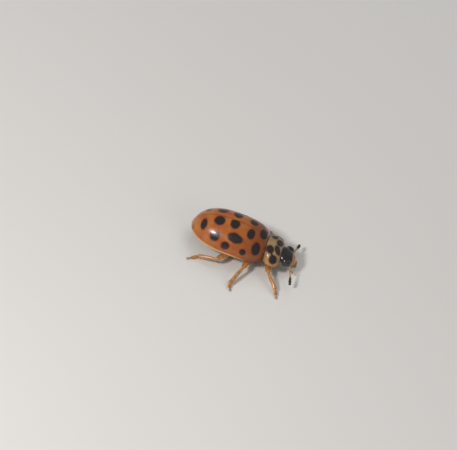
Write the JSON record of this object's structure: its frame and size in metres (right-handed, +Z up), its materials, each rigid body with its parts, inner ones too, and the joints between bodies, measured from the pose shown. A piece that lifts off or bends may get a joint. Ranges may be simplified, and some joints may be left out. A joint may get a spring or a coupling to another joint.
{
  "type": "water ladybird",
  "caption": "Long, flattish water ladybird in mid stride: orange spotted wing cases, buff spotted neck shield, black head with brown mouth.",
  "frame": {"origin": "on the floor, under the middle of the box round the whole beetle, toes and feelers included", "axes": "+X forward, towards the head; +Y to the beetle's left; +Z up"},
  "size_m": [0.0042, 0.004, 0.0013],
  "materials": {
    "wing_case": "gloss",
    "neck_shield": "gloss",
    "underside": "satin",
    "head_black": "gloss",
    "eye": "gloss",
    "mouth": "satin",
    "leg": "satin",
    "feeler_club": "satin"
  },
  "bodies": {
    "root": {"elytron_right": "wing_case", "elytron_left": "wing_case", "scutellum": "wing_case", "pronotum": "neck_shield", "prothorax": "underside", "thorax": "underside", "abdomen": "underside", "head_capsule": "head_black", "eye_right": "eye", "eye_left": "eye", "labrum": "mouth", "mouthparts": "mouth", "palp_right": "mouth", "palp_left": "mouth", "feeler_right": "leg", "feeler_club_right": "feeler_club", "feeler_left": "leg", "feeler_club_left": "feeler_club", "front_right_femur": "leg", "front_right_tibia": "leg", "front_right_tarsus": "leg", "middle_right_femur": "leg", "middle_right_tibia": "leg", "middle_right_tarsus": "leg", "hind_right_femur": "leg", "hind_right_tibia": "leg", "hind_right_tarsus": "leg", "front_left_femur": "leg", "front_left_tibia": "leg", "front_left_tarsus": "leg", "middle_left_femur": "leg", "middle_left_tibia": "leg", "middle_left_tarsus": "leg", "hind_left_femur": "leg", "hind_left_tibia": "leg", "hind_left_tarsus": "leg"}
  },
  "joints": []
}
